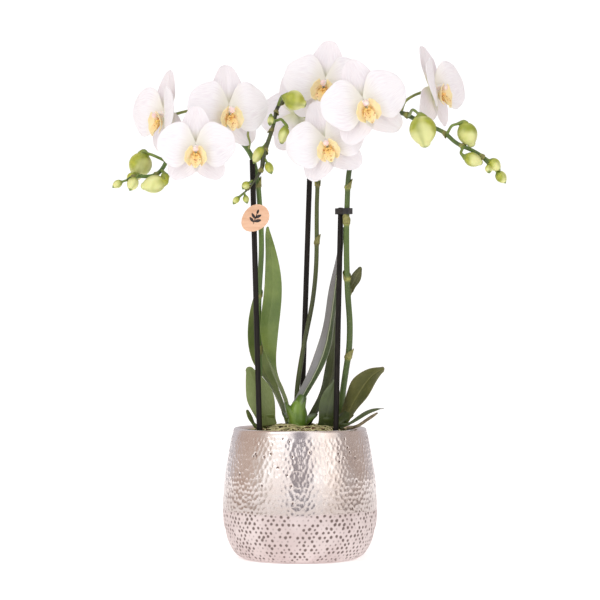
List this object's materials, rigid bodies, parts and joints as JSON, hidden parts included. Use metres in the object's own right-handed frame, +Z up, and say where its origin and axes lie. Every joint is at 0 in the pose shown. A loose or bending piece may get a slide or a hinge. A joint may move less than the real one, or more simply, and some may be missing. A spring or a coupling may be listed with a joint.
{
  "type": "potted orchid",
  "caption": "Moth orchid with arching spikes of white flowers and green buds, staked and growing in bark in a grow pot inside a round silver hammered pot",
  "frame": {"origin": "centre of the decorative pot's flat underside", "axes": "+Z up; -Y is the front, which most of the flowers face; +X to the right as seen from the front"},
  "size_m": [0.2991, 0.1184, 0.3985],
  "materials": {
    "silver_glaze": "hammered silver-coloured glaze, satin and pinkish white with pits below",
    "grow_pot_plastic": "thin dark plastic",
    "bark_mix": "loose bark chips and moss",
    "crown_green": "waxy living tissue",
    "leaf_green": "waxy leaf",
    "leaf_olive": "waxy leaf",
    "root_brown": "dry root",
    "spike_green": "waxy stem",
    "stake_brown": "dark stained cane",
    "petal_white": "soft velvety petal",
    "sepal_white": "soft velvety sepal",
    "lip_yellow": "soft waxy petal with red-brown marks",
    "bud_green": "smooth closed bud",
    "tag_wood": "pale plain wood, unprinted",
    "clip_plastic": "black plastic"
  },
  "bodies": {
    "root": {"aerial_root_right": "root_brown", "bud_centre_hanging": "bud_green", "bud_centre_large": "bud_green", "bud_centre_narrow": "bud_green", "bud_left_large": "bud_green", "bud_left_low": "bud_green", "bud_right_large": "bud_green", "bud_right_lower": "bud_green", "bud_right_upper": "bud_green", "clip_right": "clip_plastic", "crown_centre": "crown_green", "crown_left": "crown_green", "crown_right": "crown_green", "decorative_pot": "silver_glaze", "flower_centre_back_lip": "lip_yellow", "flower_centre_back_petals": "petal_white", "flower_centre_back_sepals": "sepal_white", "flower_centre_high_lip": "lip_yellow", "flower_centre_high_petals": "petal_white", "flower_centre_high_sepals": "sepal_white", "flower_centre_low_lip": "lip_yellow", "flower_centre_low_petals": "petal_white", "flower_centre_low_sepals": "sepal_white", "flower_far_left_lip": "lip_yellow", "flower_far_left_petals": "petal_white", "flower_far_left_sepals": "sepal_white", "flower_far_right_lip": "lip_yellow", "flower_far_right_petals": "petal_white", "flower_far_right_sepals": "sepal_white", "flower_left_high_lip": "lip_yellow", "flower_left_high_petals": "petal_white", "flower_left_high_sepals": "sepal_white", "flower_left_low_lip": "lip_yellow", "flower_left_low_petals": "petal_white", "flower_left_low_sepals": "sepal_white", "flower_right_high_lip": "lip_yellow", "flower_right_high_petals": "petal_white", "flower_right_high_sepals": "sepal_white", "grow_pot": "grow_pot_plastic", "growing_medium": "bark_mix", "leaf_centre_rear_left": "leaf_green", "leaf_centre_rear_right": "leaf_green", "leaf_centre_tall_left": "leaf_green", "leaf_centre_tall_right": "leaf_green", "leaf_left_broad": "leaf_green", "leaf_left_short": "leaf_green", "leaf_right_broad": "leaf_olive", "leaf_right_spike": "leaf_olive", "leaf_right_stub": "leaf_olive", "leaf_right_thin": "leaf_olive", "name_tag": "tag_wood", "spike_centre": "spike_green", "spike_left": "spike_green", "spike_right": "spike_green", "stake_centre": "stake_brown", "stake_left": "stake_brown", "stake_right": "stake_brown", "tag_clip": "clip_plastic"}
  },
  "joints": []
}
